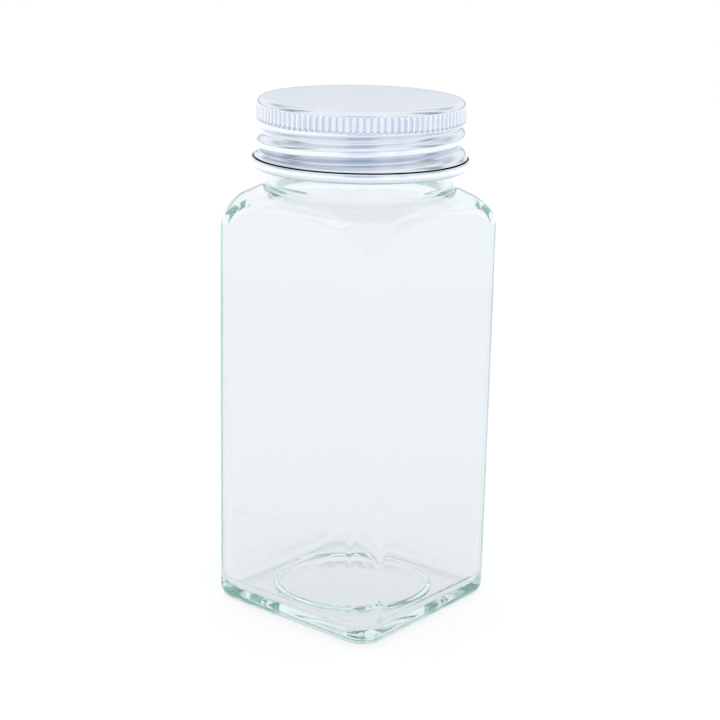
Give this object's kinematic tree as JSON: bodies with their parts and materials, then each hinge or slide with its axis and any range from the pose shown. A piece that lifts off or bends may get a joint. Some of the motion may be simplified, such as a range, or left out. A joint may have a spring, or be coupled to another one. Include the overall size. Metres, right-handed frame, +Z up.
{
  "type": "square glass specimen jar",
  "caption": "Clear square glass specimen jar with rounded corners, domed shoulder and short round neck, closed by a knurled aluminium screw cap with a foam liner.",
  "frame": {"origin": "centre of the square foot, on the surface the jar stands on", "axes": "+Z up along the jar's axis; X and Y square to the flat sides. The cap is stored fully screwed down"},
  "size_m": [0.0468, 0.0468, 0.1136],
  "materials": {
    "jar_glass": "clear, faint green, polished",
    "cap_metal": "satin, clear lacquered",
    "liner_foam": "fine closed-cell foam, matte"
  },
  "bodies": {
    "jar": {"jar_glass": "jar_glass"},
    "liner": {"cap_liner": "liner_foam"},
    "cap": {"cap_shell": "cap_metal"}
  },
  "joints": [
    {"name": "cap_lift", "type": "slide", "parent": "jar", "child": "liner", "axis": [0, 0, 1], "range_m": [0, 0.0212]},
    {"name": "cap_turn", "type": "hinge", "parent": "liner", "child": "cap", "pos_m": [0, 0, 0.1], "axis": [0, 0, 1], "range_deg": [0, 1800]}
  ],
  "couplings": [
    {"joint": "cap_lift", "follows": "cap_turn", "m_per_rad": 0.00067375}
  ]
}
